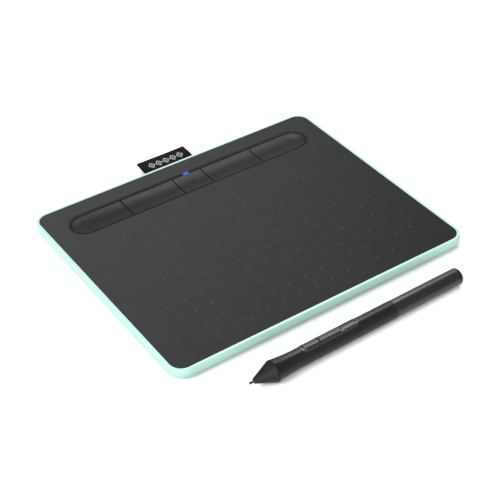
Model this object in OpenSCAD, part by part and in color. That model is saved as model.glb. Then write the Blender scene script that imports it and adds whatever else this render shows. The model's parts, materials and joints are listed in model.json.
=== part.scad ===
// Pen drawing tablet with its wireless pen.
// Millimetres. +Z is up and +Y points to the rear edge, where the key tray is.
// The origin is on the desk, under the centre of the tablet.

/* [Tablet] */
// Width of the tablet, left to right
tablet_w = 202; // [200:1:208]
// Depth of the tablet, front to rear
tablet_d = 162; // [161:1:168]
// Height of the drawing surface above the desk
tablet_h = 8.8; // [8.7:0.1:9.2]
// Radius of the tablet's corners in plan
corner_r = 9.6; // [9:0.1:12]
// Width of the coloured rim round the drawing surface
rim_w = 2.1; // [2.1:0.1:2.6]
// Radius of the rounded side, seen from its end
side_r = 6.4; // [6:0.1:8]
// Thickness of the black top cover
cover_t = 1.5; // [1.4:0.1:1.6]

/* [Key tray] */
// Length of the tray's straight part
tray_straight = 153; // [150:1:155]
// Distance of the tray's centre line behind the tablet's centre
tray_y = 57.5; // [56:0.5:59]
// Radius of the tray's round ends at the drawing surface
tray_r = 10.1; // [9.9:0.1:10.6]
// Radius of the round ends of the row of keys
key_row_r = 8.2; // [8:0.05:8.35]
// Depth of the keys' edge below the drawing surface
key_edge_drop = 0.6; // [0.5:0.05:0.7]
// Radius of the hollow along the keys, in which the pen lies
hollow_r = 40; // [38:1:60]
// Gap between two neighbouring keys
key_gap = 0.6; // [0.4:0.05:0.7]
// Width of the power button
power_w = 20.2; // [18:0.1:22]
// Width of an inner express key
inner_key_w = 36.55; // [35:0.05:38]
// How far an express key goes down
key_travel = 0.4; // [0.2:0.05:0.4]
// How far the power button goes down
power_travel = 0.3; // [0.2:0.05:0.4]

/* [Pen loop] */
// Width of the woven pen loop
loop_w = 34.4; // [30:0.1:38]
// How far the loop stands out behind the tablet
loop_out = 16.5; // [15:0.5:19]
// Thickness of the ribbon
ribbon_t = 0.45; // [0.35:0.05:0.5]

/* [Pen] */
// Length of the pen from its nib to its end cap
pen_length = 146.5; // [142:0.5:150]
// Radius of the pen's grip behind the waist
grip_r = 5.34; // [5.26:0.02:5.4]
// Radius of the flare in front of the waist
flare_r = 6.4; // [6.2:0.05:6.6]
// Radius of the rear barrel where it meets the grip
rear_r = 5.22; // [5.18:0.02:5.28]
// Length of the exposed nib
nib_out = 3.1; // [2.7:0.1:3.3]
// How far the nib goes in under the hand's pressure
nib_travel = 0.3; // [0.1:0.05:0.4]
// How far a side switch goes in
switch_travel = 0.35; // [0.2:0.05:0.4]
// Turn of the pen's switches from straight up towards the tablet, in degrees
switch_roll = 12; // [0:1:20]
// Angle between the pen and the tablet's front edge, in degrees
pen_yaw = 1.1; // [-2:0.05:4]

/* [Hidden] */
$fn = 96;
over = 1;               // how far a cutter runs past the face that it cuts
fit = 0.05;             // play between pieces that don't move against each other

// Heights inside the tablet
shell_z = 0.6;          // underside of the shell, which stands on its feet
floor_t = 1.4;
floor_z = shell_z + floor_t;
cover_z = tablet_h - cover_t;
side_mid_z = 6.15;      // where the rounded side stands out furthest
side_low_a = -25;       // the side turns into a smaller rounding below this angle
keel_r = 1.6;           // the rounding that turns the side inwards
under_a = -62;          // and its end, where the sloping underside begins
edge_r = 0.4;           // rounding of the rim's outer edge
wall_w = 4.2;           // wall below the ledge that carries the top cover
wall_foot = [1.7, 0.9]; // the sloping corner between the wall and the floor
cover_gap = 0.1;
cover_w = tablet_w - 2 * (rim_w + cover_gap);
cover_d = tablet_d - 2 * (rim_w + cover_gap);
cover_r = corner_r - rim_w - cover_gap;

// Feet and case screws
foot_l = 18;
foot_w = 7;
foot_x = 76;
foot_y = 64;
foot_t = 1;
foot_seat = 0.4;        // depth of a foot's seat in the shell
screw_x = tablet_w / 2 - 9.5;
screw_y = tablet_d / 2 - 9.5;
screw_spots = [for (x = [-1, 1], y = [-1, 0, 1]) [x * screw_x, y * screw_y]];
screw_r = 0.8;
screw_head_r = 1.5;
screw_head_t = 0.7;
boss_r = 2.2;

// Keys
key_top_z = tablet_h - key_edge_drop;
hollow_z = key_top_z + sqrt(hollow_r * hollow_r - key_row_r * key_row_r);
key_side_gap = 0.25;
aperture_r = key_row_r + key_side_gap;
key_base_z = cover_z - 0.95;
flange_r = key_row_r + 0.8;
flange_t = 0.65;
key_bevel = 0.15;
power_x1 = power_w / 2;
inner_x0 = power_x1 + key_gap;
inner_x1 = inner_x0 + inner_key_w;
outer_x0 = inner_x1 + key_gap;
outer_x1 = tray_straight / 2 + flange_r + over;
inner_mid = (inner_x0 + inner_x1) / 2;
outer_mid = (outer_x0 + tray_straight / 2 + key_row_r) / 2;
stem_r = 1.2;
post_r = 0.9;           // the two posts that keep an express key straight
post_x = 12;

// Controller board and what stands on it
board_z = 2.6;
board_t = 1;
board_top = board_z + board_t;
board_w = 174;
board_d = 27;
board_y = 60.5;
board_bosses = [[-70, 50], [0, 50.5], [72, 50]];
switch_w = 5.2;
switch_t = 1.1;
plunger_r = 1.3;
plunger_t = 0.4;
plunger_top = board_top + switch_t + plunger_t;
switch_centres = [-outer_mid, -inner_mid, 0, inner_mid, outer_mid];
guide_z = board_top + switch_t + 0.2;
guide_t = 0.7;
guide_w = 180;
guide_d = 25;
guide_post_y = 10.9;
flex_x = -54;
flex_w = 16;
flex_t = 0.2;
flex_plug = [18, 3.4, 1.1];
flex_plug_y = 47.4;
flex_plug_z = 0.5;      // height of the connector's slot above the board
can_at = [-15.2, 52];
can_size = [11, 11, 1];
can_wall = 0.25;
chip_at = [26, 64.5];
chip_size = [7, 7, 0.8];
cell_plug_at = [-24, 69.5];
cell_plug = [5, 3.6, 1.1];
lead_w = 2.2;
lead_t = 0.7;
led_size = [1.6, 0.8, 0.5];
lens_w = 4.2;
lens_y0 = tray_y + aperture_r;
lens_y1 = lens_y0 + 1.35;
lens_leg_y = tray_y + flange_r + 0.3;
lens_leg_t = 1;

// Micro-USB inlet on the rear edge
usb_x = 46;
usb_w = 7.5;
usb_h = 2.5;
usb_l = 6.2;
usb_wall = 0.3;
usb_mouth_y = tablet_d / 2 - 1.3;

// Sensor board, shield and battery
sensor_w = 168;
sensor_d = 110;
sensor_y = -17.7;
sensor_t = 0.8;
sensor_z = cover_z - sensor_t;
shield_t = 0.3;
shield_z = sensor_z - shield_t;
battery_size = [52, 34, 3.2];
battery_at = [-46, -8];
bay_wall = 1;
bay_h = 2.2;

// Ribbon loop: its two layers leave the wall together, open a little and meet again in the fold
loop_root_y = tablet_d / 2 - 0.3;
loop_root_z = 3.2;
fold_r = 0.8;
fold_y = tablet_d / 2 + loop_out - fold_r;
fold_z = 4.35;
loop_bulge = 0.5;       // how far the layers stand apart at the middle, each way
loop_steps = 12;
slot_h = 1.3;
anchor_y = 74.9;
tail_gap = 0.55;        // room for the loop to turn at its root

// The pen's own axis: stations are measured from the nib's tip
flare_u = 15.15;
waist_l = 17;
seam_u = 97;
pen_wall = 1.1;
bore_r = grip_r - pen_wall;
nose_tip_r = 1.55;
nose_bore_r = 1.15;
groove = 0.3;           // width and depth of the groove between the cone and the grip
nib_r = 0.85;
neck_in_r = 0.68;
shaft_r = 0.6;
nib_l = 24;
holder_u = 20.8;
holder_l = 5.6;
sensor_u = holder_u + holder_l + nib_travel + 0.3;
sensor_l = 5.4;
bezel_u0 = 33.2;
bezel_u1 = 72.2;
bezel_half = 3.7;
bezel_corner = 2.9;
bezel_lap = 0.6;        // how far the bezel's plate covers the grip round its opening
switch_corner = 1.6;
bezel_r = grip_r + 0.2;
ridge_w = 1.15;         // the raised border round the switches and the pad behind them
pad_r = grip_r - 0.1;
seat_r = grip_r - 0.45;
front_switch = [35.5, 45.2];
rear_switch = [46, 60.4];
front_stem_u = 40.5;
rear_stem_u = 53;
switch_half = 2.1;
switch_gap = 0.45;
switch_crown = grip_r + 0.32;
pad_u0 = rear_switch[1] + switch_gap + 0.8;
pcb_x = 0.2;
pcb_t = 1;
pcb_half = 3.5;
pcb_u0 = 35;
pcb_u1 = seam_u - 3;
dome_t = 1.5;
dome_top = pcb_x + pcb_t + dome_t;
neck_r = 4;
neck_l = 9;
rear_bore_r = 4.25;
rear_end_r = 5.16;
cap_u = pen_length - 2;
cap_round = 1.5;
nest_u = seam_u + neck_l;
nest_l = 7;
nest_r = 3.5;
nest_ring = 1.8;
spare_l = 21;

// The pen lies on its flare and on the rim of its end
rest_gap = 0.02;
pen_tilt = asin((flare_r - rear_end_r) / (cap_u - flare_u));
nib_x = -71.9;
nib_y = -105.08;
nib_z = flare_r + rest_gap + flare_u * sin(pen_tilt);

// ---- shapes that several pieces share ----

// Points along an arc of a circle, from angle a0 to angle a1
function arc(c, r, a0, a1, steps) =
    [for (i = [0:steps]) let (a = a0 + (a1 - a0) * i / steps) [c.x + r * cos(a), c.y + r * sin(a)]];

// Carries a profile round a rounded rectangle. The profile's x runs outwards from the corners' centres.
module around(w, d, r) {
    for (turn = [0:3]) {
        across = turn % 2 == 0 ? w / 2 - r : d / 2 - r;
        along = turn % 2 == 0 ? d / 2 - r : w / 2 - r;
        rotate([0, 0, 90 * turn]) translate([across, along, 0]) {
            rotate_extrude(angle = 90) children();
            rotate([90, 0, 0]) linear_extrude(2 * along) children();
        }
    }
}

// A plate with rounded corners between two heights
module slab(w, d, r, z0, z1) {
    around(w, d, r) translate([0, z0]) square([r, z1 - z0]);
    translate([r - w / 2, r - d / 2, z0]) cube([w - 2 * r, d - 2 * r, z1 - z0]);
}

// Carries a profile round the tray's outline. The profile's x runs outwards from the centre line.
module round_tray() {
    for (side = [0, 1]) rotate([0, 0, 180 * side]) {
        translate([tray_straight / 2, 0, 0]) rotate([0, 0, -90]) rotate_extrude(angle = 180) children();
        translate([-tray_straight / 2, 0, 0]) rotate([90, 0, 90]) linear_extrude(tray_straight) children();
    }
}

// A bar with round ends, lying along X and standing on z = 0
module pill(l, w, h) {
    for (side = [0, 1]) rotate([0, 0, 180 * side]) translate([(l - w) / 2, 0, 0])
        rotate([0, 0, -90]) rotate_extrude(angle = 180) square([w / 2, h]);
    translate([(w - l) / 2, -w / 2, 0]) cube([l - w, w, h]);
}

// Stands its children on the pen's axis: z is the station, and the switches are on the +X side
module on_pen() {
    translate([nib_x, nib_y, nib_z]) rotate([0, 90 + pen_tilt, pen_yaw])
        rotate([0, 0, 180 - switch_roll]) children();
}

// A ring about the pen's axis between two stations
module pen_ring(r_out, r_in, u0, u1) {
    translate([0, 0, u0]) difference() {
        cylinder(r = r_out, h = u1 - u0);
        translate([0, 0, -over]) cylinder(r = r_in, h = u1 - u0 + 2 * over);
    }
}

// A bar with rounded corners through the pen's switch side, between two stations
module switch_window(u0, u1, half, r) {
    translate([0, 0, (u0 + u1) / 2]) rotate([0, 90, 0]) slab(u1 - u0, 2 * half, r, 0, grip_r + 4);
}

// ---- the tablet's case ----

module shell_profile() {
    side_c = [corner_r - side_r, side_mid_z];
    keel_c = side_c + (side_r - keel_r) * [cos(side_low_a), sin(side_low_a)];
    under = keel_c + keel_r * [cos(under_a), sin(under_a)];
    flat_x = under.x - (under.y - shell_z) * tan(-under_a);
    edge_a = asin((tablet_h - edge_r - side_mid_z) / (side_r - edge_r));
    edge_c = side_c + (side_r - edge_r) * [cos(edge_a), sin(edge_a)];
    polygon(concat(
        [[0, shell_z], [flat_x, shell_z]],
        arc(keel_c, keel_r, under_a, side_low_a, 6),
        [for (i = [1:12]) arc(side_c, side_r, side_low_a, edge_a, 12)[i]],
        [for (p = arc(edge_c, edge_r, edge_a, 90, 5)) if (p.y > edge_c.y + edge_r * sin(edge_a) + 0.01) p],
        [[corner_r - rim_w, tablet_h], [corner_r - rim_w, cover_z], [corner_r - wall_w, cover_z],
         [corner_r - wall_w, floor_z + wall_foot.y], [corner_r - wall_w - wall_foot.x, floor_z],
         [0, floor_z]]
    ));
}

module bottom_shell() {
    color("#b8e8d8") difference() {
        union() {
            around(tablet_w, tablet_d, corner_r) shell_profile();
            translate([corner_r - tablet_w / 2, corner_r - tablet_d / 2, shell_z])
                cube([tablet_w - 2 * corner_r, tablet_d - 2 * corner_r, floor_t]);
            for (p = board_bosses) translate([p.x, p.y, shell_z]) cylinder(r = boss_r, h = board_z - shell_z);
            battery_bay();
        }
        for (x = [-foot_x, foot_x], y = [-foot_y, foot_y]) translate([x, y, shell_z - over])
            pill(foot_l, foot_w, foot_seat + over);
        for (p = screw_spots) translate([p.x, p.y, shell_z - over]) {
            cylinder(r = screw_head_r + 0.2, h = screw_head_t + over);
            cylinder(r = screw_r + fit, h = floor_t + 2 * over);
        }
        for (p = board_bosses) translate([p.x, p.y, floor_z - 0.6]) cylinder(r = screw_r, h = 3);
        translate([usb_x - usb_w / 2 - 0.4, usb_mouth_y - usb_l, board_top - 0.4])
            cube([usb_w + 0.8, 12, usb_h + 0.8]);
        translate([-loop_w / 2 - 0.3, anchor_y, loop_root_z - slot_h / 2])
            cube([loop_w + 0.6, 12, slot_h]);
    }
}

// Low walls on the floor that keep the battery in place
module battery_bay() {
    for (side = [-1, 1]) {
        translate([battery_at.x + side * (battery_size.x / 2 + 0.8) - bay_wall / 2,
                   battery_at.y - battery_size.y / 2, floor_z - 0.5])
            cube([bay_wall, battery_size.y, bay_h]);
        translate([battery_at.x - battery_size.x / 4,
                   battery_at.y + side * (battery_size.y / 2 + 0.8) - bay_wall / 2, floor_z - 0.5])
            cube([battery_size.x / 2, bay_wall, bay_h]);
    }
}

module top_cover() {
    lip = [[0, cover_z - over], [aperture_r, cover_z - over], [aperture_r, key_top_z],
           [tray_r, tablet_h], [tray_r, tablet_h + over], [0, tablet_h + over]];
    color("#464648") difference() {
        union() {
            slab(cover_w, cover_d, cover_r, cover_z, tablet_h);
            for (p = screw_spots) translate([p.x, p.y, floor_z + fit])
                cylinder(r = boss_r, h = cover_z - floor_z);
        }
        translate([0, tray_y, 0]) round_tray() polygon(lip);
        for (p = screw_spots) translate([p.x, p.y, shell_z]) cylinder(r = screw_r + fit, h = 5.5);
        translate([-lens_w / 2, lens_y0 - over, cover_z - over])
            cube([lens_w, lens_y1 - lens_y0 + over, cover_t + 2 * over]);
    }
}

module foot(x, y) {
    color("#2e2e30") translate([x, y, 0]) pill(foot_l - 2 * fit, foot_w - 2 * fit, foot_t);
}
module foot_front_left() foot(-foot_x, -foot_y);
module foot_front_right() foot(foot_x, -foot_y);
module foot_rear_left() foot(-foot_x, foot_y);
module foot_rear_right() foot(foot_x, foot_y);

// A screw with its head down, on the given height
module screw(head_z, l) {
    translate([0, 0, head_z]) {
        difference() {
            cylinder(r = screw_head_r, h = screw_head_t);
            for (turn = [0, 90]) rotate([0, 0, turn]) translate([-0.8, -0.15, -over])
                cube([1.6, 0.3, over + 0.35]);
        }
        translate([0, 0, screw_head_t]) cylinder(r = screw_r, h = l - screw_head_t);
    }
}

module case_screws() {
    color("#3a3a3c") for (p = screw_spots) translate([p.x, p.y, 0]) screw(shell_z, 5);
}

// ---- electronics in the tablet ----

module sensor_board() {
    color("#1f5a38") translate([-sensor_w / 2, sensor_y - sensor_d / 2, sensor_z])
        cube([sensor_w, sensor_d, sensor_t]);
}

module shield_plate() {
    color("#9aa0a4") translate([2 - sensor_w / 2, sensor_y - sensor_d / 2 + 2, shield_z])
        cube([sensor_w - 4, sensor_d - 8, shield_t]);
}

// The flat cable hangs from the sensor board's rear edge and ends in its connector
module sensor_flex_cable() {
    top = sensor_z;
    plug_z = board_top + flex_plug_z + 0.25;
    end_y = flex_plug_y + 1;
    start_y = sensor_y + sensor_d / 2 - 2.8;
    line = [[start_y, top], [start_y + 4.5, top], [end_y - 4.9, plug_z], [end_y, plug_z]];
    under = [[end_y, plug_z - flex_t], [end_y - 5, plug_z - flex_t], [start_y + 4.4, top - flex_t],
             [start_y, top - flex_t]];
    color("#c8853a") translate([flex_x - flex_w / 2, 0, 0]) rotate([90, 0, 90]) linear_extrude(flex_w)
        polygon(concat(line, under));
}

module flex_connector() {
    color("#e8e4d8") translate([flex_x - flex_plug.x / 2, flex_plug_y, board_top]) difference() {
        cube(flex_plug);
        translate([(flex_plug.x - flex_w) / 2 - 0.1, -over, flex_plug_z]) cube([flex_w + 0.2, 2 + over, 0.3]);
    }
}

module controller_board() {
    color("#17643c") difference() {
        translate([-board_w / 2, board_y - board_d / 2, board_z]) cube([board_w, board_d, board_t]);
        for (p = board_bosses) translate([p.x, p.y, 0]) cylinder(r = screw_r + fit, h = 9);
    }
}

module board_screws() {
    color("#a8a8aa") for (p = board_bosses) translate([p.x, p.y, board_top + screw_head_t])
        mirror([0, 0, 1]) screw(0, 2.2);
}

module radio_shield_can() {
    color("#c4c6c8") translate([can_at.x, can_at.y, board_top]) difference() {
        cube(can_size);
        translate([can_wall, can_wall, -over])
            cube([can_size.x - 2 * can_wall, can_size.y - 2 * can_wall, over + can_size.z - can_wall]);
    }
}

module processor_chip() {
    color("#1c1c1e") translate([chip_at.x, chip_at.y, board_top]) cube(chip_size);
}

module battery_pouch() {
    color("#b9bcc0") translate([battery_at.x, battery_at.y, floor_z])
        translate([-battery_size.x / 2, -battery_size.y / 2, 0]) cube(battery_size);
}

module battery_connector() {
    color("#f0ece0") translate([cell_plug_at.x, cell_plug_at.y, board_top]) cube(cell_plug);
}

// The battery's insulated pair runs along the floor and climbs into its connector
module battery_lead() {
    low_z = floor_z + 1;
    top_z = board_top + 0.9;
    start_y = battery_at.y + battery_size.y / 2;
    edge_y = board_y - board_d / 2 - 1.4;
    color("#a82a2a") translate([cell_plug_at.x + (cell_plug.x - lead_w) / 2, 0, 0]) {
        translate([0, start_y, low_z]) cube([lead_w, edge_y - start_y, lead_t]);
        translate([0, edge_y, low_z]) cube([lead_w, lead_t, top_z - low_z]);
        translate([0, edge_y, top_z - lead_t]) cube([lead_w, cell_plug_at.y - edge_y, lead_t]);
    }
}

module usb_port_shell() {
    color("#c9cbce") translate([usb_x - usb_w / 2, usb_mouth_y - usb_l, board_top]) difference() {
        cube([usb_w, usb_l, usb_h]);
        translate([usb_wall, usb_wall, usb_wall])
            cube([usb_w - 2 * usb_wall, usb_l, usb_h - 2 * usb_wall]);
    }
}

module usb_port_tongue() {
    color("#222224") translate([usb_x - 2, usb_mouth_y - usb_l + usb_wall, board_top + 1.35])
        cube([4, usb_l - 1.3, 0.5]);
}

// ---- keys ----

// Half of a key's cross-section: a hollow top and a flange that keeps it under the cover
module key_profile() {
    difference() {
        polygon([[0, key_base_z], [flange_r, key_base_z], [flange_r, key_base_z + flange_t],
                 [key_row_r, key_base_z + flange_t], [key_row_r, key_top_z - key_bevel],
                 [key_row_r - key_bevel, key_top_z + 0.1], [0, key_top_z + 0.1]]);
        translate([0, hollow_z]) circle(r = hollow_r, $fn = 720);
    }
}

// The stretch of the key row between x0 and x1
module key_cap(x0, x1) {
    translate([0, tray_y, 0]) intersection() {
        round_tray() key_profile();
        translate([x0, -flange_r - over, key_base_z - over]) cube([x1 - x0, 2 * (flange_r + over), 9]);
    }
}

// A key with its stem, which stands on the switch's plunger, and its two guide posts
module express_key(x0, x1, mid) {
    color("#3c3c3e") {
        key_cap(x0, x1);
        translate([mid, tray_y, plunger_top + fit]) cylinder(r = stem_r, h = key_base_z - plunger_top);
        for (side = [-1, 1]) translate([mid + side * post_x, tray_y, guide_z])
            cylinder(r = post_r, h = key_base_z - guide_z + 0.2);
    }
}
module express_key_1() express_key(-outer_x1, -outer_x0, -outer_mid);
module express_key_2() express_key(-inner_x1, -inner_x0, -inner_mid);
module express_key_3() express_key(inner_x0, inner_x1, inner_mid);
module express_key_4() express_key(outer_x0, outer_x1, outer_mid);

module power_button() {
    color("#3c3c3e") {
        key_cap(-power_x1, power_x1);
        translate([0, tray_y, plunger_top + fit]) cylinder(r = stem_r, h = key_base_z - plunger_top);
    }
}

// The plate under the keys: it guides their stems and hangs on the cover
module key_guide_frame() {
    color("#2a2a2c") translate([0, tray_y, 0]) {
        difference() {
            translate([-guide_w / 2, -guide_d / 2, guide_z]) cube([guide_w, guide_d - 4, guide_t]);
            for (x = switch_centres) translate([x, 0, 0]) {
                cylinder(r = plunger_r + 0.4, h = 9);
                if (x != 0) for (side = [-1, 1]) translate([side * post_x, 0, 0])
                    cylinder(r = post_r + 0.25, h = 9);
            }
        }
        for (x = [-75, -30, 30, 75]) translate([x, -guide_post_y, guide_z])
            cylinder(r = 1.3, h = cover_z - guide_z);
    }
}

module key_switch_bodies() {
    color("#d8d8da") for (x = switch_centres) translate([x, tray_y, board_top]) difference() {
        translate([-switch_w / 2, -switch_w / 2, 0]) cube([switch_w, switch_w, switch_t]);
        translate([0, 0, switch_t - 0.45]) cylinder(r = plunger_r + 0.2, h = 2);
    }
}

module plunger(x) {
    color("#8a2f2a") translate([x, tray_y, plunger_top - plunger_t]) cylinder(r = plunger_r, h = plunger_t);
}
module key_plunger_1() plunger(-outer_mid);
module key_plunger_2() plunger(-inner_mid);
module power_plunger() plunger(0);
module key_plunger_3() plunger(inner_mid);
module key_plunger_4() plunger(outer_mid);

// The light's window follows the tray's sloping lip, and its leg stands over the LED
module status_light_lens() {
    slope = (tablet_h - key_top_z) / (tray_r - aperture_r);
    leg_z = board_top + led_size.z + 0.3;
    leg_y1 = lens_leg_y + lens_leg_t;
    color("#4f7dff") translate([-lens_w / 2 + fit, 0, 0]) rotate([90, 0, 90])
        linear_extrude(lens_w - 2 * fit)
            polygon([[lens_y0, cover_z], [lens_leg_y, cover_z - fit], [lens_leg_y, leg_z],
                     [leg_y1, leg_z], [leg_y1, cover_z - fit], [lens_y1 - fit, cover_z - fit],
                     [lens_y1 - fit, key_top_z + slope * (lens_y1 - fit - lens_y0)], [lens_y0, key_top_z]]);
}

module status_led() {
    color("#f4f4ff")
        translate([-led_size.x / 2, lens_leg_y + lens_leg_t / 2 - led_size.y / 2, board_top]) cube(led_size);
}

// ---- ribbon loop behind the tablet ----

// Half the loop's height at t, which runs from 0 at the root to 1 at the fold
function loop_half(t) = ribbon_t + (fold_r - ribbon_t) * t + 4 * loop_bulge * t * (1 - t);

// One layer's face from step i0 to i1, seen from the loop's end: side is 1 above and -1 below
function layer_line(i0, i1, side, inset) = [
    for (i = [i0:i0 < i1 ? 1 : -1:i1]) let (t = i / loop_steps) [
        loop_root_y + t * (fold_y - loop_root_y),
        loop_root_z + t * (fold_z - loop_root_z) + side * (loop_half(t) - inset)
    ]
];

// The loop's outline at a depth in the ribbon: out along the bottom, round the fold and back
function loop_line(first, inset) = concat(
    layer_line(first, loop_steps - 1, -1, inset),
    arc([fold_y, fold_z], fold_r - inset, -90, 90, 8),
    layer_line(loop_steps - 1, first, 1, inset)
);

module pen_loop() {
    color("#1c1c1e") translate([-loop_w / 2, 0, 0]) rotate([90, 0, 90]) linear_extrude(loop_w)
        difference() {
            polygon(loop_line(0, 0));
            polygon(loop_line(1, ribbon_t));
        }
}

// The two ribbon ends go through the rear wall and under the clamp bar
module pen_loop_tail() {
    color("#1c1c1e") translate([-loop_w / 2, anchor_y, loop_root_z - ribbon_t])
        cube([loop_w, loop_root_y - tail_gap - anchor_y, 2 * ribbon_t]);
}

module pen_loop_clamp() {
    color("#2a2a2c") translate([-loop_w / 2 - 1, anchor_y - 0.2, loop_root_z + ribbon_t])
        cube([loop_w + 2, 2, 1.2]);
}

// ---- pen ----

// Radius of the grip at a station: a waist that dies out behind the flare
function grip_at(u) =
    grip_r + (flare_r - grip_r) * pow(1 - min(1, (u - flare_u) / waist_l), 2);

// A nib: a round tip on a thinner neck, a collar inside the cone and a long shaft
module nib_shape(l) {
    rotate_extrude() polygon(concat(
        [[0, l], [shaft_r, l], [shaft_r, 6.6], [nib_r, 6], [nib_r, 3.4], [neck_in_r, 2.6], [neck_in_r, 1.9]],
        arc([0, nib_r], nib_r, 30, -90, 10)
    ));
}

module pen_nib() color("#1a1a1c") on_pen() nib_shape(nib_l);

module pen_nib_holder() {
    color("#6f7275") on_pen() difference() {
        translate([0, 0, holder_u]) cylinder(r = 1.5, h = holder_l);
        cylinder(r = shaft_r, h = nib_l);
    }
}

module pen_nose_cone() {
    color("#242426") on_pen() rotate_extrude() polygon([
        [nose_bore_r, nib_out], [nose_tip_r, nib_out], [flare_r - 0.08, flare_u - groove],
        [flare_r - groove, flare_u - groove], [flare_r - groove, flare_u], [flare_r - 1.4, flare_u],
        [nose_bore_r + 0.5, nib_out + 3.2], [nose_bore_r, nib_out + 2]
    ]);
}

module pen_grip_barrel() {
    waist = [for (i = [0:10]) let (u = flare_u + waist_l * i / 10) [grip_at(u), u]];
    color("#2c2c2e") on_pen() difference() {
        rotate_extrude() polygon(concat(
            [[bore_r, flare_u]], waist,
            [[grip_r - 0.02, seam_u], [neck_r, seam_u], [neck_r, seam_u + neck_l],
             [neck_r - 0.9, seam_u + neck_l], [neck_r - 0.9, seam_u - 2], [bore_r, seam_u - 2]]
        ));
        intersection() {
            switch_window(bezel_u0 - fit, bezel_u1 + fit, bezel_half + fit, bezel_corner + fit);
            pen_ring(grip_r + over, seat_r, bezel_u0 - over, bezel_u1 + over);
        }
        bezel_opening(bezel_lap);
    }
}

// The bezel's outline, narrower by the given margin all round
module bezel_opening(margin) {
    switch_window(bezel_u0 + margin, bezel_u1 - margin, bezel_half - margin, bezel_corner - margin);
}

module pen_switch_bezel() {
    window = [front_switch[0] - switch_gap, rear_switch[1] + switch_gap];
    color("#3a3a3d") on_pen() difference() {
        union() {
            intersection() {
                bezel_opening(0);
                pen_ring(bezel_r, seat_r + 0.01, bezel_u0 - over, bezel_u1 + over);
            }
            intersection() {
                bezel_opening(bezel_lap + fit);
                pen_ring(seat_r + 0.1, bore_r + 0.1, bezel_u0 - over, bezel_u1 + over);
            }
        }
        switch_window(window[0], window[1], switch_half + switch_gap, switch_corner + switch_gap);
        intersection() {
            switch_window(pad_u0, bezel_u1 - ridge_w, bezel_half - ridge_w, bezel_corner - ridge_w);
            pen_ring(bezel_r + over, pad_r, bezel_u0 - over, bezel_u1 + over);
        }
    }
}

// A side switch: the stretch u0 to u1 of one long crowned cap, and the stem that presses its dome
module side_switch(u0, u1, stem_u) {
    intersection() {
        switch_window(front_switch[0], rear_switch[1], switch_half, switch_corner);
        pen_ring(switch_crown, bore_r - 0.1, u0, u1);
    }
    translate([dome_top + fit, -0.8, stem_u - 1]) cube([bore_r - dome_top + 0.3, 1.6, 2]);
}

module pen_front_switch() {
    color("#606064") on_pen() side_switch(front_switch[0] - over, front_switch[1], front_stem_u);
}

module pen_rear_switch() {
    color("#606064") on_pen() side_switch(rear_switch[0], rear_switch[1] + over, rear_stem_u);
}

module pen_ferrite_core() color("#4a4a4c") on_pen() pen_ring(1.9, 1.2, 8.4, 20);

module pen_coil() color("#b5642c") on_pen() pen_ring(2.5, 1.92, 9.4, 19);

module pen_pressure_sensor() {
    color("#9c9ea2") on_pen() translate([0, 0, sensor_u]) cylinder(r = 2.6, h = sensor_l);
}

// A half-round gutter that carries the circuit board
module pen_chassis() {
    color("#505256") on_pen() difference() {
        pen_ring(bore_r - 0.1, bore_r - 0.9, flare_u + 5, seam_u - 2.2);
        translate([pcb_x, -9, 0]) cube([9, 18, pen_length]);
    }
}

module pen_circuit_board() {
    color("#17643c") on_pen() translate([pcb_x, -pcb_half, pcb_u0])
        cube([pcb_t, 2 * pcb_half, pcb_u1 - pcb_u0]);
}

module pen_switch_domes() {
    color("#c4c6c8") on_pen() for (u = [front_stem_u, rear_stem_u]) translate([pcb_x + pcb_t, -1.5, u - 2])
        cube([dome_t - switch_travel, 3, 4]);
}

module pen_nib_nest() {
    color("#505256") on_pen() difference() {
        translate([0, 0, nest_u]) cylinder(r = nest_r, h = nest_l);
        for (turn = [0:120:240]) rotate([0, 0, turn]) translate([nest_ring, 0, nest_u + 2])
            cylinder(r = shaft_r + fit, h = nest_l);
    }
}

module spare_nibs() {
    color("#1a1a1c") on_pen() for (turn = [0:120:240]) rotate([0, 0, turn])
        translate([nest_ring, 0, nest_u + 2 + spare_l]) mirror([0, 0, 1]) nib_shape(spare_l);
}

module pen_rear_barrel() {
    color("#303032") on_pen() rotate_extrude() polygon([
        [rear_bore_r, seam_u + 0.1], [rear_r - 0.1, seam_u + 0.1], [rear_r, seam_u + 0.2],
        [rear_end_r, cap_u], [rear_bore_r, cap_u]
    ]);
}

module pen_end_cap() {
    color("#161618") on_pen() rotate_extrude() polygon(concat(
        [[0, cap_u - 3], [rear_bore_r - fit, cap_u - 3], [rear_bore_r - fit, cap_u], [rear_end_r, cap_u]],
        arc([rear_end_r - cap_round, pen_length - cap_round], cap_round, 0, 90, 8),
        [[0, pen_length]]
    ));
}

bottom_shell();
top_cover();
foot_front_left();
foot_front_right();
foot_rear_left();
foot_rear_right();
case_screws();
sensor_board();
shield_plate();
sensor_flex_cable();
controller_board();
board_screws();
flex_connector();
radio_shield_can();
processor_chip();
battery_connector();
battery_lead();
battery_pouch();
usb_port_shell();
usb_port_tongue();
key_guide_frame();
key_switch_bodies();
express_key_1();
express_key_2();
power_button();
express_key_3();
express_key_4();
key_plunger_1();
key_plunger_2();
power_plunger();
key_plunger_3();
key_plunger_4();
status_light_lens();
status_led();
pen_loop();
pen_loop_tail();
pen_loop_clamp();
pen_nib();
pen_nib_holder();
pen_nose_cone();
pen_grip_barrel();
pen_switch_bezel();
pen_front_switch();
pen_rear_switch();
pen_ferrite_core();
pen_coil();
pen_pressure_sensor();
pen_chassis();
pen_circuit_board();
pen_switch_domes();
pen_nib_nest();
spare_nibs();
pen_rear_barrel();
pen_end_cap();
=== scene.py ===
"""A pen drawing tablet and its pen on a white table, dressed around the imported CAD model.

Metres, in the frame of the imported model: +Z is up and +Y points to the rear edge with the key tray.
"""

import json
import math

import bpy
from mathutils import Matrix, Vector


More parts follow.
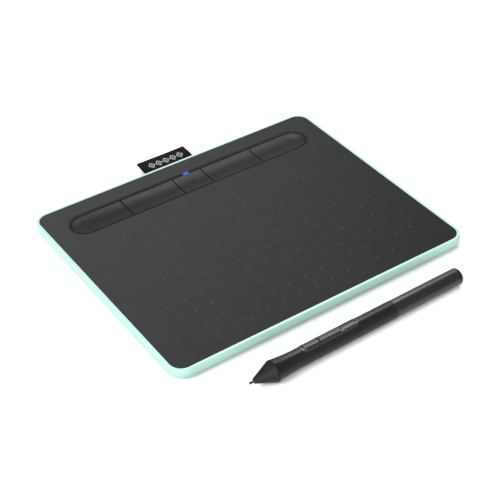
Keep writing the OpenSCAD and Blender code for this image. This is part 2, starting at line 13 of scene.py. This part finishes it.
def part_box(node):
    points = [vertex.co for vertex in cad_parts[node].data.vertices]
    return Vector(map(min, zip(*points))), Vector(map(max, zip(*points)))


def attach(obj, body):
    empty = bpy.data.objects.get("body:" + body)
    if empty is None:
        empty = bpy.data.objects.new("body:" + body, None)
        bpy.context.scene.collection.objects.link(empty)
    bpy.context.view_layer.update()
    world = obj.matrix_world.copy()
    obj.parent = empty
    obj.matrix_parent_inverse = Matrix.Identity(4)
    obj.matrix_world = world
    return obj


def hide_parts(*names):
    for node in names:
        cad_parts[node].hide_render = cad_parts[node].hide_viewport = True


MM = 0.001

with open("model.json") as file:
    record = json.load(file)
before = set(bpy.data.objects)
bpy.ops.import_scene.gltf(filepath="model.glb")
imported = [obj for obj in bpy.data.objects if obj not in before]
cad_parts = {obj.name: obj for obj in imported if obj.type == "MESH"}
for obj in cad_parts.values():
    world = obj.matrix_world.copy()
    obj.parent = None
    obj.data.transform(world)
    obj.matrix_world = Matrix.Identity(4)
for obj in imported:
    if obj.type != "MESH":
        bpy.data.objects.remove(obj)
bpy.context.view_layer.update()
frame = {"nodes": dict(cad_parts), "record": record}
nodes = frame["nodes"]
slot_of = {part["node"]: part["material_slot"] for part in frame["record"]["subparts"]}
scene = bpy.context.scene

# ---- camera ----

# Angles in degrees and the lens in mm. The target lies on the table, near the middle of the tablet.
CAMERA_AZIMUTH = -34.90
CAMERA_ELEVATION = 39.274
CAMERA_ROLL = -0.249
CAMERA_DISTANCE = 727.585 * MM
CAMERA_TARGET = Vector((-4.774, -10.189, 0)) * MM
CAMERA_LENS = 89.04


def make_camera():
    """A long lens from the front left, looking down at the tablet."""
    a, e, r = (math.radians(x) for x in (CAMERA_AZIMUTH, CAMERA_ELEVATION, CAMERA_ROLL))
    back = Vector((math.sin(a) * math.cos(e), -math.cos(a) * math.cos(e), math.sin(e)))
    level = Vector((math.cos(a), math.sin(a), 0))
    upright = back.cross(level)
    right = math.cos(r) * level + math.sin(r) * upright
    up = back.cross(right)
    turn = Matrix((right, up, back)).transposed().to_4x4()
    data = bpy.data.cameras.new("camera")
    data.lens = CAMERA_LENS
    data.clip_start = 0.01
    camera = bpy.data.objects.new("camera", data)
    camera.matrix_world = Matrix.Translation(CAMERA_TARGET + back * CAMERA_DISTANCE) @ turn
    scene.collection.objects.link(camera)
    scene.camera = camera


# ---- shader building ----


def add(tree, kind, **settings):
    """A shader node; a setting is one of its properties, or the default of the input of that name."""
    node = tree.nodes.new("ShaderNode" + kind)
    for key, value in settings.items():
        if hasattr(node, key):
            setattr(node, key, value)
        else:
            node.inputs[key.replace("_", " ")].default_value = value
    return node


def feed(tree, socket, value):
    """Gives an input socket a number, a colour or the output of another node."""
    if isinstance(value, bpy.types.NodeSocket):
        tree.links.new(value, socket)
    elif socket.type == "RGBA":
        socket.default_value = (*value, 1)
    else:
        socket.default_value = value


def maths(tree, operation, *values):
    """The result of one math node. Its values are numbers or sockets."""
    node = add(tree, "Math", operation=operation)
    for socket, value in zip(node.inputs, values):
        feed(tree, socket, value)
    return node.outputs[0]


def hypotenuse(tree, a, b):
    """The length of the vector (a, b)."""
    squares = [maths(tree, "MULTIPLY", side, side) for side in (a, b)]
    return maths(tree, "SQRT", maths(tree, "ADD", *squares))


def span(tree, value, low, high, to_low=0.0, to_high=1.0):
    """Maps a value smoothly from low..high to to_low..to_high."""
    node = add(tree, "MapRange", interpolation_type="SMOOTHSTEP",
               From_Min=low, From_Max=high, To_Min=to_low, To_Max=to_high)
    tree.links.new(value, node.inputs["Value"])
    return node.outputs[0]


def noise(tree, where, size, detail=3.0, stretch=(1, 1, 1)):
    """Noise from 0 to 1 with blobs of about the given size in metres, drawn out along the axes."""
    mapping = add(tree, "Mapping")
    mapping.inputs["Scale"].default_value = [1 / (size * s) for s in stretch]
    tree.links.new(where, mapping.inputs["Vector"])
    node = add(tree, "TexNoise", Scale=1.0, Detail=detail)
    tree.links.new(mapping.outputs[0], node.inputs["Vector"])
    return node.outputs[0]


def mix(tree, share, first, second):
    """A colour between two colours or colour sockets."""
    node = add(tree, "Mix", data_type="RGBA")
    sockets = [s for s in node.inputs if s.type == "RGBA"]
    for socket, value in zip([node.inputs[0], *sockets], (share, first, second)):
        feed(tree, socket, value)
    return next(s for s in node.outputs if s.type == "RGBA")


class Finish:
    """A material under way: its tree, its shader and where on the object a point lies."""

    def __init__(self, name):
        self.material = bpy.data.materials.new(name)
        self.material.use_nodes = True
        self.tree = self.material.node_tree
        self.shader = self.tree.nodes["Principled BSDF"]
        self.where = add(self.tree, "TexCoord").outputs["Object"]
        split = add(self.tree, "SeparateXYZ")
        self.tree.links.new(self.where, split.inputs[0])
        self.x, self.y = split.outputs[:2]

    def set(self, **values):
        """Gives the shader's inputs their values, by the names of the inputs."""
        for key, value in values.items():
            feed(self.tree, self.shader.inputs[key.replace("_", " ")], value)

    def bump(self, height, depth):
        """Turns a height from 0 to 1 into relief of the given depth in metres."""
        node = add(self.tree, "Bump", Strength=1.0, Distance=depth)
        self.tree.links.new(height, node.inputs["Height"])
        self.tree.links.new(node.outputs[0], self.shader.inputs["Normal"])


# ---- finishes ----

# The colour of the painted shade in narrow gaps.
GAP_SHADE_TONE = (0.001, 0.001, 0.001)


def moulded(name, colour, rough, specular=0.5, coat=0.0, mottle=0.08, grain=0.35, depth=0.012, crevice=None):
    """Moulded plastic or rubber: a fine eroded grain, and colour and gloss that vary a little.

    Grain and its depth are in mm. Gaps narrower than the crevice width, in mm, get painted shade and go dull.
    """
    f = Finish(name)
    tree = f.tree
    fine = noise(tree, f.where, grain * MM, 4.0)
    broad = noise(tree, f.where, 24 * MM, 2.0)
    handled = noise(tree, f.where, 7 * MM, 5.0)
    darker = tuple(c * (1 - mottle) for c in colour)
    lighter = tuple(min(1, c * (1 + mottle)) for c in colour)
    tone = mix(tree, span(tree, broad, 0.3, 0.7), darker, lighter)
    tone = mix(tree, span(tree, fine, 0.35, 0.65, 0.0, 0.35), tone, darker)
    dullness = span(tree, handled, 0.3, 0.7, rough - 0.02, rough + 0.02)
    # Painted shade: ambient occlusion darkens the colour in narrow gaps between parts.
    if crevice:
        unblocked = add(tree, "AmbientOcclusion", samples=8, Distance=crevice * MM).outputs["AO"]
        openness = span(tree, unblocked, 0.35, 0.9)
        tone = mix(tree, openness, GAP_SHADE_TONE, tone)
        dullness = maths(tree, "MAXIMUM", dullness, maths(tree, "SUBTRACT", 1.0, openness))
    f.set(Base_Color=tone, Roughness=dullness)
    f.set(Specular_IOR_Level=specular, Coat_Weight=coat, Coat_Roughness=0.15)
    f.bump(fine, depth * MM)
    return f


# The printed grid of dots; the keys' tray, as in the CAD model, with a painted shade line round it.
DOT_PITCH = (11.076 * MM, 10.834 * MM)
DOT_COLUMNS, DOT_ROWS = 15, 10
DOT_COLUMN_CENTRE = 1.1 * MM
DOT_ROW_CENTRE = -17.65 * MM
DOT_RADIUS = 0.38 * MM
DOT_BLUR = 0.06 * MM
DOT_TONE = (0.066, 0.066, 0.069)
TRAY_HALF = 76.5 * MM
TRAY_Y = 57.5 * MM
TRAY_RADIUS = 10.1 * MM
TRAY_SHADE_TONE = (0.009, 0.009, 0.0094)

# The cover's own tone, the painted shade it darkens to towards the front right, and how far from the middle
# the change goes on.
COVER_TONE = (0.0278, 0.0281, 0.0299)
PAINTED_SHADE_TONE = (0.0085, 0.0086, 0.0092)
PAINTED_SHADE_REACH = 220 * MM


def nearest(tree, place, pitch):
    """Distance to the nearest line of a row of lines at the given pitch, of which one is at 0."""
    steps = maths(tree, "DIVIDE", place, pitch)
    off = maths(tree, "SUBTRACT", steps, maths(tree, "ROUND", steps))
    return maths(tree, "MULTIPLY", maths(tree, "ABSOLUTE", off), pitch)


def within(tree, place, half):
    """1 where a place is closer to 0 than half, else 0."""
    return maths(tree, "LESS_THAN", maths(tree, "ABSOLUTE", place), half)


def dotted_cover():
    """Matt texture with a printed grid of small lighter dots, darkened by painted shade towards the front
    right and by a painted shade line round the keys' tray.
    """
    f = moulded("black_cover", COVER_TONE, 0.5, specular=0.05, mottle=0.04, grain=0.22)
    tree = f.tree
    column_place = maths(tree, "SUBTRACT", f.x, DOT_COLUMN_CENTRE)
    row_place = maths(tree, "SUBTRACT", f.y, DOT_ROW_CENTRE)
    off_x = nearest(tree, column_place, DOT_PITCH[0])
    off_y = nearest(tree, maths(tree, "SUBTRACT", row_place, DOT_PITCH[1] / 2), DOT_PITCH[1])
    off = hypotenuse(tree, off_x, off_y)
    dot = span(tree, off, DOT_RADIUS - DOT_BLUR, DOT_RADIUS + DOT_BLUR, 1.0, 0.0)
    dot = maths(tree, "MULTIPLY", dot, within(tree, column_place, DOT_COLUMNS / 2 * DOT_PITCH[0]))
    dot = maths(tree, "MULTIPLY", dot, within(tree, row_place, DOT_ROWS / 2 * DOT_PITCH[1]))

    # Painted shade: a dark line round the keys' tray, where its recess falls in shade.
    past_end = maths(tree, "MAXIMUM", maths(tree, "SUBTRACT", maths(tree, "ABSOLUTE", f.x), TRAY_HALF), 0.0)
    from_tray = hypotenuse(tree, past_end, maths(tree, "SUBTRACT", f.y, TRAY_Y))
    tray_shade = span(tree, from_tray, TRAY_RADIUS - 0.1 * MM, TRAY_RADIUS + 0.2 * MM, 1.0, 0.0)

    # Painted shade: the cover darkens smoothly towards the front right, where the light falls off.
    unshaded_tone = f.shader.inputs["Base Color"].links[0].from_socket
    towards_shade = maths(tree, "SUBTRACT", maths(tree, "MULTIPLY", f.x, 0.8), f.y)
    plain = mix(tree, span(tree, towards_shade, -PAINTED_SHADE_REACH, PAINTED_SHADE_REACH), unshaded_tone, PAINTED_SHADE_TONE)
    plain = mix(tree, tray_shade, plain, TRAY_SHADE_TONE)
    f.set(Base_Color=mix(tree, dot, plain, DOT_TONE))
    return f


RIB_PITCH = 0.55 * MM
THREAD_PITCH = 0.4 * MM
# Thread tones: low is painted shade in the weave's hollows, high the thread on its crests.
THREAD_TONE = {
    "low": (0.0018, 0.0018, 0.002),
    "high": (0.0045, 0.0045, 0.0048),
    "worn": (0.0026, 0.0026, 0.0028),
    "selvedge": (0.0015, 0.0015, 0.0018),
    "motif": (0.33, 0.33, 0.33),
}
OUTLINE_PLACE = 0.78


def diamonds(f, pitch, half, length, y):
    """1 on a row of diamonds, each an outline with a dot inside, on the faces that look up.

    The distance from a diamond's middle runs from 0 to 1 at its corners.
    """
    tree = f.tree
    along = nearest(tree, f.x, pitch)
    across = maths(tree, "ABSOLUTE", maths(tree, "SUBTRACT", f.y, y))
    from_middle = maths(tree, "ADD", maths(tree, "DIVIDE", along, pitch / 2),
                        maths(tree, "DIVIDE", across, half))
    from_outline = maths(tree, "ABSOLUTE", maths(tree, "SUBTRACT", from_middle, OUTLINE_PLACE))
    outline = span(tree, from_outline, 0.1, 0.2, 1.0, 0.0)
    inner_dot = span(tree, from_middle, 0.2, 0.32, 1.0, 0.0)
    shape = maths(tree, "MAXIMUM", outline, inner_dot)
    shape = maths(tree, "MULTIPLY", shape, within(tree, f.x, length / 2))
    facing = add(tree, "SeparateXYZ")
    tree.links.new(add(tree, "NewGeometry").outputs["Normal"], facing.inputs[0])
    return maths(tree, "MULTIPLY", shape, span(tree, facing.outputs[2], 0.3, 0.6))


def woven_ribbon(name, selvedge=None, motif=None):
    """Narrow woven ribbon: ribs across it with painted shade in their hollows, a denser dark selvedge and a
    woven row of diamonds.
    """
    f = Finish(name)
    tree = f.tree
    rib = maths(tree, "SINE", maths(tree, "MULTIPLY", f.y, 2 * math.pi / RIB_PITCH))
    thread = maths(tree, "SINE", maths(tree, "MULTIPLY", f.x, 2 * math.pi / THREAD_PITCH))
    weave = maths(tree, "MULTIPLY_ADD", maths(tree, "MULTIPLY", rib, thread), 0.5, 0.5)
    fuzz = noise(tree, f.where, 0.15 * MM, 4.0)
    uneven = noise(tree, f.where, 5 * MM, 3.0)
    # Painted shade: the thread is darker where the weave is low.
    tone = mix(tree, span(tree, weave, 0.1, 0.9), THREAD_TONE["low"], THREAD_TONE["high"])
    tone = mix(tree, span(tree, uneven, 0.3, 0.7, 0.0, 0.4), tone, THREAD_TONE["worn"])
    height = maths(tree, "MULTIPLY_ADD", fuzz, 0.35, weave)
    if selvedge:
        past_side = maths(tree, "SUBTRACT", maths(tree, "ABSOLUTE", f.x), selvedge["half"])
        beyond = maths(tree, "MAXIMUM", past_side, maths(tree, "SUBTRACT", f.y, selvedge["end"]))
        tone = mix(tree, span(tree, beyond, -0.12 * MM, 0.12 * MM), tone, THREAD_TONE["selvedge"])
    if motif:
        shape = diamonds(f, **motif)
        tone = mix(tree, maths(tree, "MULTIPLY", shape, 0.9), tone, THREAD_TONE["motif"])
        height = maths(tree, "MULTIPLY_ADD", shape, 0.5, height)
    f.set(Base_Color=tone, Roughness=span(tree, weave, 0, 1, 0.85, 0.7), Specular_IOR_Level=0.07)
    f.set(Sheen_Weight=0.02, Sheen_Roughness=0.5)
    f.bump(height, 0.09 * MM)
    return f


def brushed(name, colour, rough, along=(12, 1, 1), size=0.25):
    """Drawn or rolled metal with fine parallel scratches."""
    f = Finish(name)
    tree = f.tree
    scratch = noise(tree, f.where, size * MM, 3.0, along)
    cloud = noise(tree, f.where, 6 * MM)
    f.set(Base_Color=mix(tree, span(tree, cloud, 0.3, 0.7), tuple(0.88 * c for c in colour), colour))
    f.set(Metallic=1.0, Roughness=span(tree, scratch, 0.3, 0.7, rough - 0.08, rough + 0.1))
    f.bump(scratch, 0.006 * MM)
    return f


def circuit_board():
    """Green solder mask over copper tracks that run in steps, with tinned pads."""
    f = Finish("board")
    tree = f.tree
    cells = add(tree, "TexVoronoi", distance="MANHATTAN", feature="F1", Scale=1 / (2.6 * MM))
    tree.links.new(f.where, cells.inputs["Vector"])
    lines = maths(tree, "PINGPONG", maths(tree, "MULTIPLY", cells.outputs["Distance"], 3.0), 0.5)
    track = span(tree, lines, 0.2, 0.26)
    pad = span(tree, cells.outputs["Distance"], 0.1, 0.13, 1.0, 0.0)
    tone = mix(tree, track, (0.012, 0.09, 0.04), (0.03, 0.2, 0.09))
    f.set(Base_Color=mix(tree, pad, tone, (0.62, 0.6, 0.55)), Metallic=pad, Roughness=0.35)
    f.bump(track, 0.03 * MM)
    return f


def wound_coil():
    """Enamelled copper wire, wound round the pen's axis, with painted shade in the grooves between the turns.
    """
    f = Finish("copper_coil")
    tree = f.tree
    turn = maths(tree, "SINE", maths(tree, "MULTIPLY", f.x, 2 * math.pi / (0.2 * MM)))
    wire = maths(tree, "MULTIPLY_ADD", turn, 0.5, 0.5)
    # Painted shade: the colour goes dark in the grooves between the turns.
    f.set(Base_Color=mix(tree, wire, (0.2, 0.06, 0.02), (0.72, 0.3, 0.12)), Metallic=1.0, Roughness=0.3)
    f.bump(wire, 0.08 * MM)
    return f


def foil_pouch():
    """The battery's aluminium film, slightly creased."""
    f = Finish("battery_foil")
    tree = f.tree
    crease = noise(tree, f.where, 7 * MM, 6.0)
    f.set(Base_Color=mix(tree, crease, (0.48, 0.5, 0.52), (0.66, 0.68, 0.7)), Metallic=0.9, Roughness=0.33)
    f.bump(crease, 0.5 * MM)
    return f


def lit_lens():
    """Translucent window, lit blue from behind and brightest over the light."""
    f = Finish("status_lens")
    tree = f.tree
    haze = noise(tree, f.where, 0.8 * MM)
    glow = span(tree, maths(tree, "ABSOLUTE", f.x), 0.2 * MM, 2.0 * MM, 0.52, 0.34)
    f.set(Base_Color=(0.008, 0.02, 0.2), Roughness=0.3, Emission_Strength=glow)
    f.set(Emission_Color=mix(tree, haze, (0.035, 0.13, 0.95), (0.06, 0.18, 1.0)), Specular_IOR_Level=0.2)
    f.bump(haze, 0.01 * MM)
    return f


def striped(name, colour, dark, pitch):
    """A film or sleeve with parallel conductors under it."""
    f = Finish(name)
    tree = f.tree
    line = span(tree, nearest(tree, f.x, pitch), 0.16 * pitch, 0.3 * pitch)
    f.set(Base_Color=mix(tree, line, dark, colour), Roughness=0.4, Coat_Weight=0.4)
    f.bump(line, 0.02 * MM)
    return f


# Colours are linear; grain, depth and crevice, the reach of the painted shade in gaps, are in mm.
MOULDED = {
    "mint_shell": dict(colour=(0.27, 0.435, 0.385), rough=0.42, mottle=0.015, grain=0.3, depth=0.006),
    "key_plastic": dict(colour=(0.0065, 0.0065, 0.0067), rough=0.32, specular=0.075, mottle=0.05, grain=0.2,
                        depth=0.004, crevice=1.2),
    "inner_plastic": dict(colour=(0.02, 0.02, 0.022), rough=0.5),
    "rubber": dict(colour=(0.018, 0.018, 0.019), rough=0.75, specular=0.3, mottle=0.2, grain=0.5, depth=0.05),
    "chip": dict(colour=(0.012, 0.012, 0.013), rough=0.45, grain=0.12, depth=0.01),
    "connector_plastic": dict(colour=(0.72, 0.69, 0.6), rough=0.4, grain=0.2, depth=0.005),
    "plunger_plastic": dict(colour=(0.28, 0.05, 0.04), rough=0.4, grain=0.15),
    "led_package": dict(colour=(0.8, 0.8, 0.86), rough=0.2, coat=0.5, grain=0.1, depth=0.003),
    "pen_grip": dict(colour=(0.006, 0.006, 0.0062), rough=0.34, specular=0.2, grain=0.25, depth=0.006),
    "pen_bezel": dict(colour=(0.013, 0.013, 0.0135), rough=0.34, specular=0.4, grain=0.2, depth=0.004,
                      crevice=1.6),
    "pen_button": dict(colour=(0.03, 0.03, 0.032), rough=0.36, specular=0.25, grain=0.2, depth=0.004,
                       crevice=1.6),
    "pen_rear": dict(colour=(0.006, 0.0059, 0.007), rough=0.28, specular=0.45, mottle=0.05, grain=0.3,
                     depth=0.0012),
    "pen_cap": dict(colour=(0.004, 0.004, 0.0045), rough=0.25, specular=0.2, grain=0.3, depth=0.002),
    "nib_plastic": dict(colour=(0.012, 0.012, 0.012), rough=0.42, grain=0.1, depth=0.006),
    "ferrite": dict(colour=(0.05, 0.05, 0.052), rough=0.6, grain=0.12, depth=0.02),
    "mark_ink": dict(colour=(0.0025, 0.0025, 0.0025), rough=0.7, specular=0.05, grain=0.1, depth=0.004),
}


def make_finishes():
    """Every finish by its slot's name, and the ink of the power mark."""
    return {
        **{name: moulded(name, **look) for name, look in MOULDED.items()},
        "black_cover": dotted_cover(),
        "board": circuit_board(),
        "polyimide": striped("polyimide", (0.5, 0.22, 0.04), (0.3, 0.12, 0.03), 0.5 * MM),
        "lead_insulation": striped("lead_insulation", (0.42, 0.02, 0.02), (0.02, 0.02, 0.02), 1.1 * MM),
        "sheet_steel": brushed("sheet_steel", (0.6, 0.61, 0.62), 0.32),
        "shield_metal": brushed("shield_metal", (0.58, 0.6, 0.62), 0.38, along=(1, 14, 1)),
        "screw_steel": brushed("screw_steel", (0.16, 0.16, 0.17), 0.36, along=(1, 1, 1), size=0.15),
        "battery_foil": foil_pouch(),
        "status_lens": lit_lens(),
        "ribbon": woven_ribbon("ribbon"),
        "copper_coil": wound_coil(),
    }


# ---- dressing the CAD nodes ----

EDGE_WIDTHS = {
    0.05 * MM: ["status_light_lens"],
    0.06 * MM: ["pen_switch_bezel", "case_screws"],
    0.08 * MM: ["usb_port_shell", "usb_port_tongue"],
    0.1 * MM: ["top_cover"],
    0.12 * MM: ["express_key_1", "express_key_2", "power_button", "express_key_3", "express_key_4"],
    0.14 * MM: ["pen_front_switch", "pen_rear_switch"],
    0.15 * MM: ["pen_loop_clamp"],
    0.3 * MM: ["foot_front_left", "foot_front_right", "foot_rear_left", "foot_rear_right"],
}


def soften(obj, width):
    """Rounds sharp edges a little, so that they catch the light."""
    weld = obj.modifiers.new("weld", "WELD")
    weld.merge_threshold = 0.001 * MM
    bevel = obj.modifiers.new("soft_edges", "BEVEL")
    bevel.width = width
    bevel.segments = 2
    bevel.limit_method = "ANGLE"
    bevel.angle_limit = math.radians(40)
    even = obj.modifiers.new("even_shading", "WEIGHTED_NORMAL")
    even.weight = 100


def dress(finishes):
    """Gives every node the finish of its slot, and the listed ones soft edges."""
    for name, obj in nodes.items():
        obj.data.materials.clear()
        obj.data.materials.append(finishes[slot_of[name]].material)
    for width, names in EDGE_WIDTHS.items():
        for name in names:
            soften(nodes[name], width)


def new_piece(name, rings, finish, body):
    """A smooth piece skinned over equal rings of points, closed at both ends."""
    count = len(rings[0])
    verts = [point for ring in rings for point in ring]
    faces = []
    for a in range(0, len(verts) - count, count):
        for i in range(count):
            j = (i + 1) % count
            faces.append((a + i, a + j, a + count + j, a + count + i))
    faces.append(tuple(reversed(range(count))))
    faces.append(tuple(range(len(verts) - count, len(verts))))
    mesh = bpy.data.meshes.new(name)
    mesh.from_pydata(verts, [], faces)
    mesh.validate()
    for polygon in mesh.polygons:
        polygon.use_smooth = True
    obj = bpy.data.objects.new(name, mesh)
    scene.collection.objects.link(obj)
    mesh.materials.append(finish.material)
    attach(obj, body)
    return obj


# ---- the ribbon loop ----

RIBBON_THICKNESS = 0.42 * MM
SELVEDGE = 1.5 * MM
SELVEDGE_SWELL, FIELD_SWELL = 1.12, 0.92
EDGE_ROUNDING = 0.25 * MM
EDGE_COLUMNS = [0.06 * MM, 0.15 * MM, 0.25 * MM, 1.45 * MM, 1.55 * MM]
FOLD_RADIUS = 0.8 * MM
FOLD_HEIGHT = 4.35 * MM
LAYER_BULGE = 0.5 * MM
CREASE_DROOP = 0.12 * MM
LAYER_STEPS, FOLD_STEPS, WIDTH_STEPS = 14, 12, 30
MOTIF = {"pitch": 5.2 * MM, "half": 3.0 * MM, "length": 26 * MM}
MOTIF_FROM_FOLD = 7.2 * MM


def ribbon_centreline(root, fold):
    """(y, z) points out along the lower layer, round the fold and back along the upper one."""
    start_half = RIBBON_THICKNESS / 2
    end_half = FOLD_RADIUS - RIBBON_THICKNESS / 2

    def layer(t, side):
        half = start_half + (end_half - start_half) * t + 4 * LAYER_BULGE * t * (1 - t)
        return (root.y + t * (fold.y - root.y), root.z + t * (fold.z - root.z) + side * half)

    lower = [layer(i / LAYER_STEPS, -1) for i in range(LAYER_STEPS)]
    upper = [layer(i / LAYER_STEPS, 1) for i in reversed(range(LAYER_STEPS))]
    turns = [math.radians(-90 + 180 * i / FOLD_STEPS) for i in range(FOLD_STEPS + 1)]
    bend = [(fold.y + end_half * math.cos(a), fold.z + end_half * math.sin(a)) for a in turns]
    return lower + bend + upper


def ribbon_normals(line):
    """The normal (y, z) of the ribbon at each point of its centreline."""
    normals = []
    for i in range(len(line)):
        before, after = line[max(i - 1, 0)], line[min(i + 1, len(line) - 1)]
        run = Vector((after[0] - before[0], after[1] - before[1])).normalized()
        normals.append((run.y, -run.x))
    return normals


def make_loop():
    """One strip of ribbon, folded back on itself, with thicker woven edges."""
    low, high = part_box("pen_loop")
    tail_low, tail_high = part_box("pen_loop_tail")
    half_width = (high.x - low.x) / 2
    root = Vector((0, low.y, (tail_low.z + tail_high.z) / 2))
    line = ribbon_centreline(root, Vector((0, high.y - FOLD_RADIUS, FOLD_HEIGHT)))

    def half_thickness(x):
        inside = half_width - abs(x)
        rounding = math.sqrt(max(0.0, 1 - (1 - min(1, inside / EDGE_ROUNDING)) ** 2))
        swell = SELVEDGE_SWELL if inside < SELVEDGE else FIELD_SWELL
        return RIBBON_THICKNESS / 2 * swell * (0.25 + 0.75 * rounding)

    def droop(x, share):
        """The upper layer hangs a little between root and fold."""
        return -CREASE_DROOP * math.sin(math.pi * share) * math.cos(math.pi * x / half_width)

    even = [half_width * (-1 + 2 * i / WIDTH_STEPS) for i in range(WIDTH_STEPS + 1)]
    at_edges = [side * (half_width - inset) for side in (-1, 1) for inset in EDGE_COLUMNS]
    columns = sorted(set(even + at_edges))
    profile = [(x, side) for side, xs in ((1, columns), (-1, columns[::-1])) for x in xs]
    rings = []
    for i, ((y, z), (ny, nz)) in enumerate(zip(line, ribbon_normals(line))):
        share = i / (len(line) - 1)
        hang = min(1, 2 * min(share, 1 - share))
        ring = []
        for x, side in profile:
            out = half_thickness(x) * side
            ring.append((x, y + ny * out, z + nz * out + droop(x, hang) * (nz > 0)))
        rings.append(ring)

    selvedge = {"half": half_width - SELVEDGE, "end": high.y - 1.3 * MM}
    finish = woven_ribbon("ribbon_loop", selvedge, {**MOTIF, "y": high.y - MOTIF_FROM_FOLD})
    loop = new_piece("woven_loop", rings, finish, "loop")
    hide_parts("pen_loop")


# ---- the power mark ----

MARK_RADIUS = 1.35 * MM
MARK_HALF = 0.25 * MM
MARK_RISE = 0.05 * MM
MARK_GAP = math.radians(50)
MARK_STEPS = 32
BAR_STEPS = (0, 0.5, 1)

# The hollow top of the keys, as in the CAD model.
KEY_HOLLOW = 40 * MM
KEY_HALF = 8.2 * MM
KEY_EDGE_HEIGHT = 8.2 * MM


def key_surface(y):
    """Height of the power button's hollow top at a distance from its middle across the tray."""
    return KEY_EDGE_HEIGHT + math.sqrt(KEY_HOLLOW ** 2 - KEY_HALF ** 2) - math.sqrt(KEY_HOLLOW ** 2 - y ** 2)


def make_power_mark(ink):
    """An open ring with a short bar in its gap, raised a hair above the key."""
    low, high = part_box("power_button")
    middle = (low.y + high.y) / 2
    rounded = [(math.cos(a), max(0.0, math.sin(a))) for a in (math.pi * i / 6 for i in range(7))]
    profile = rounded + [(0.0, -1.0)]

    def on_key(x, y, rise):
        return (x, middle + y, key_surface(y) + MARK_RISE * rise)

    def ring_section(angle):
        reach = [(MARK_RADIUS + MARK_HALF * out, rise) for out, rise in profile]
        return [on_key(r * math.cos(angle), r * math.sin(angle), rise) for r, rise in reach]

    def bar_section(t):
        return [on_key(MARK_HALF * out, MARK_RADIUS * (0.25 + 1.05 * t), rise) for out, rise in profile]

    start, turn = math.pi / 2 + MARK_GAP / 2, 2 * math.pi - MARK_GAP
    ring = [ring_section(start + turn * i / MARK_STEPS) for i in range(MARK_STEPS + 1)]
    bar = [bar_section(t) for t in BAR_STEPS]
    for name, rings in (("power_mark_ring", ring), ("power_mark_bar", bar)):
        new_piece(name, rings, ink, "power_key")


# ---- light and floor ----

LIGHTS = {
    "key_left": dict(place=Vector((-1.46, -0.22, 1.1)), side=0.6, power=33),
    "softbox_right_rear": dict(place=Vector((0.5, 0.54, 0.95)), side=0.42, power=7.5),
}

# The sky's level by the sine of the elevation, from the horizon up. Fill and glint are added to it, and it is
# weighed by how far a direction points to the rear and to the left.
SKY = [(0.0, 0.25), (0.34, 0.4), (0.62, 0.9), (0.83, 1.5), (1.0, 1.9)]
SKY_MOST = 1.9
SKY_GAIN = 0.56
FILL_LEVEL = 2.6
GLINT_LEVEL = 1.2
REAR = Vector((0.25, 0.97, 0.0))
LEFT = Vector((-0.82, 0.57, 0.0))
FILL_FROM = Vector((-0.35, -0.84, 0.41))
GLINT_FROM = Vector((0.44, 0.83, 0.34))

FLOOR_SIDE = 30


def area_light(name, place, side, power):
    """A square light that faces the middle of the tablet."""
    data = bpy.data.lights.new(name, "AREA")
    data.shape = "RECTANGLE"
    data.size = data.size_y = side
    data.energy = power
    light = bpy.data.objects.new(name, data)
    light.location = place
    light.rotation_euler = (-place).to_track_quat("-Z", "Y").to_euler()
    scene.collection.objects.link(light)


def make_world():
    """A pale studio: bright above, behind and to the left, a soft fill in front, a glint behind right."""
    world = bpy.data.worlds.new("studio")
    world.use_nodes = True
    tree = world.node_tree
    direction = add(tree, "TexCoord").outputs["Generated"]

    def towards(way):
        """How far a direction points the given way, from -1 to 1."""
        node = add(tree, "VectorMath", operation="DOT_PRODUCT")
        tree.links.new(direction, node.inputs[0])
        node.inputs[1].default_value = way
        return node.outputs["Value"]

    ramp = add(tree, "ValToRGB")
    tree.links.new(towards((0, 0, 1)), ramp.inputs["Fac"])
    elements = ramp.color_ramp.elements
    while len(elements) < len(SKY):
        elements.new(0.5)
    for element, (place, level) in zip(elements, SKY):
        element.position = place
        element.color = (*[level / SKY_MOST] * 3, 1)
    rear = span(tree, towards(REAR), -0.4, 0.4, 0.75, 1.0)
    left = span(tree, towards(LEFT), -0.5, 0.5, 0.64, 1.2)
    height = maths(tree, "MULTIPLY", ramp.outputs["Color"], SKY_MOST * SKY_GAIN)
    sky = maths(tree, "MULTIPLY", height, maths(tree, "MULTIPLY", rear, left))
    fill = span(tree, towards(FILL_FROM), 0.45, 1.0, 0.0, FILL_LEVEL)
    glint = span(tree, towards(GLINT_FROM), 0.93, 0.99, 0.0, GLINT_LEVEL)
    whole = maths(tree, "ADD", maths(tree, "ADD", sky, fill), glint)
    tree.links.new(whole, tree.nodes["Background"].inputs["Color"])
    scene.world = world


def make_floor():
    """A pale table top, far wider than the tablet."""
    bpy.ops.mesh.primitive_plane_add(size=FLOOR_SIDE)
    floor = bpy.context.object
    floor.name = "floor"
    f = Finish("floor_white")
    f.set(Base_Color=(0.74, 0.74, 0.74), Roughness=0.9, Specular_IOR_Level=0.0)
    floor.data.materials.append(f.material)


make_camera()
make_world()
make_floor()
for light_name, light_values in LIGHTS.items():
    area_light(light_name, **light_values)
scene.view_settings.view_transform = "Standard"

finishes = make_finishes()
dress(finishes)
make_loop()
make_power_mark(finishes["mark_ink"])
